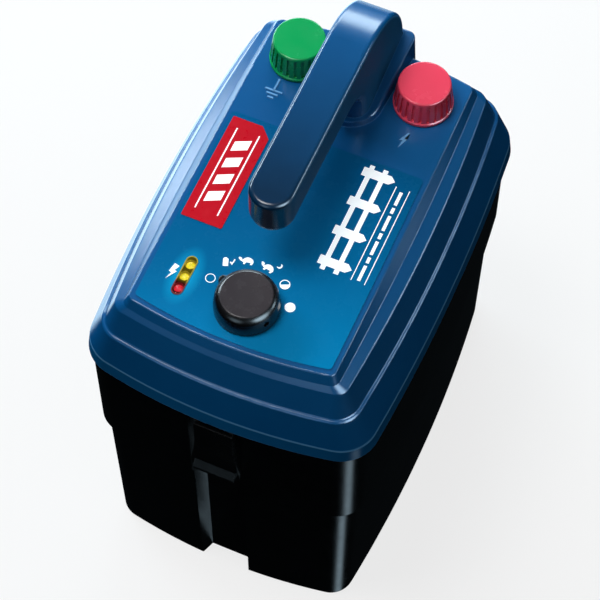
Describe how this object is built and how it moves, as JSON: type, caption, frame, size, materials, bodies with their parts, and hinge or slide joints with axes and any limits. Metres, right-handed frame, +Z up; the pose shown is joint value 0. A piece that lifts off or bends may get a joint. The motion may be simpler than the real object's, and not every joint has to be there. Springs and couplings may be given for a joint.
{
  "type": "fence energizer",
  "caption": "Battery fence energizer with a hinged, latched lid that carries a handle, rotary selector, indicator lamps and screw-down terminals over a battery box.",
  "frame": {"origin": "centre of the base's underside, on the plane it stands on", "axes": "+Z up, +X to the right as seen from the latch side, and the latch side faces -Y"},
  "size_m": [0.1602, 0.2341, 0.2835],
  "materials": {
    "base_black": "glossy black moulding",
    "lid_blue": "glossy mid blue moulding",
    "latch_black": "satin black moulding",
    "knob_black": "satin black moulding",
    "knob_green": "glossy green moulding",
    "knob_red": "glossy red moulding",
    "label_film": "printed polyester film",
    "badge_red": "printed red plate",
    "inner_black": "matt black moulding",
    "gasket_foam": "foam rubber",
    "steel_zinc": "zinc plated steel",
    "brass": "turned brass",
    "tinned": "tinned metal",
    "heatsink_alu": "extruded aluminium",
    "board_green": "solder-masked laminate",
    "core_ferrite": "laminated core",
    "winding_tape": "taped copper coil",
    "film_yellow": "wrapped film capacitor",
    "sleeve_dark": "printed sleeve",
    "chip_black": "moulded package",
    "resistor_beige": "coated body",
    "lamp_yellow": "clear coloured lamp",
    "lamp_red": "clear coloured lamp",
    "lens_clear": "clear lens",
    "wire_red": "insulated wire",
    "wire_black": "insulated wire",
    "wire_green": "insulated wire",
    "battery_green": "moulded battery case",
    "battery_top": "moulded battery cover"
  },
  "bodies": {
    "base": {"base_shell": "base_black", "hinge_pins": "steel_zinc", "battery_pad": "gasket_foam", "battery_case": "battery_green", "battery_cover": "battery_top", "battery_posts": "brass", "battery_contact_block": "inner_black", "battery_contact_plates": "brass", "battery_lead_negative": "wire_black", "battery_lead_positive": "wire_red"},
    "lid": {"lid_shell": "lid_blue", "lid_gasket": "gasket_foam", "inner_cover": "inner_black", "cover_screws": "steel_zinc", "board_screws": "steel_zinc", "handle_screws": "steel_zinc", "carry_handle": "lid_blue", "circuit_board": "board_green", "pulse_transformer_core": "core_ferrite", "pulse_transformer_winding": "winding_tape", "inverter_transformer_core": "core_ferrite", "inverter_transformer_winding": "winding_tape", "storage_capacitor": "film_yellow", "electrolytic_capacitors": "sleeve_dark", "heatsink": "heatsink_alu", "thyristor": "chip_black", "control_chip": "chip_black", "resistors": "resistor_beige", "lid_contact_block": "inner_black", "lid_contact_pins": "brass", "supply_lead_negative": "wire_black", "supply_lead_positive": "wire_red", "label_panel": "label_film", "badge_plate": "badge_red", "led_bezel": "knob_black", "led_window": "lens_clear", "led_yellow": "lamp_yellow", "led_red": "lamp_red", "selector_switch": "inner_black", "switch_nut": "steel_zinc", "terminal_studs": "brass", "ring_tags": "tinned", "stud_nuts": "brass", "earth_lead": "wire_green", "fence_lead": "wire_red", "latch_pin": "steel_zinc"},
    "selector": {"selector_knob": "knob_black", "selector_shaft": "tinned", "knob_grub_screw": "steel_zinc"},
    "earth_clamp": {"earth_clamp_washer": "brass"},
    "earth_knob": {"earth_knob": "knob_green", "earth_knob_insert": "brass"},
    "fence_clamp": {"fence_clamp_washer": "brass"},
    "fence_knob": {"fence_knob": "knob_red", "fence_knob_insert": "brass"},
    "latch": {"latch_lever": "latch_black"}
  },
  "joints": [
    {"name": "lid_hinge", "type": "hinge", "parent": "base", "child": "lid", "pos_m": [0, 0.1155, 0.171], "axis": [-1, 0, 0], "range_deg": [0, 100]},
    {"name": "latch_pivot", "type": "hinge", "parent": "lid", "child": "latch", "pos_m": [0, -0.1064, 0.1695], "axis": [-1, 0, 0], "range_deg": [0, 75]},
    {"name": "selector_turn", "type": "hinge", "parent": "lid", "child": "selector", "pos_m": [0.0011, -0.0711, 0.2265], "axis": [0, 0, 1], "range_deg": [-140, 0]},
    {"name": "earth_clamp_lift", "type": "slide", "parent": "lid", "child": "earth_clamp", "axis": [0, 0, 1], "range_m": [0, 0.00375]},
    {"name": "earth_knob_turn", "type": "hinge", "parent": "earth_clamp", "child": "earth_knob", "pos_m": [-0.0335, 0.07, 0.2265], "axis": [0, 0, 1], "range_deg": [0, 1080]},
    {"name": "fence_clamp_lift", "type": "slide", "parent": "lid", "child": "fence_clamp", "axis": [0, 0, 1], "range_m": [0, 0.00375]},
    {"name": "fence_knob_turn", "type": "hinge", "parent": "fence_clamp", "child": "fence_knob", "pos_m": [0.0335, 0.07, 0.2265], "axis": [0, 0, 1], "range_deg": [0, 1080]}
  ],
  "couplings": [
    {"joint": "earth_knob_turn", "follows": "earth_clamp_lift", "rad_per_m": 5026.5},
    {"joint": "fence_knob_turn", "follows": "fence_clamp_lift", "rad_per_m": 5026.5}
  ]
}
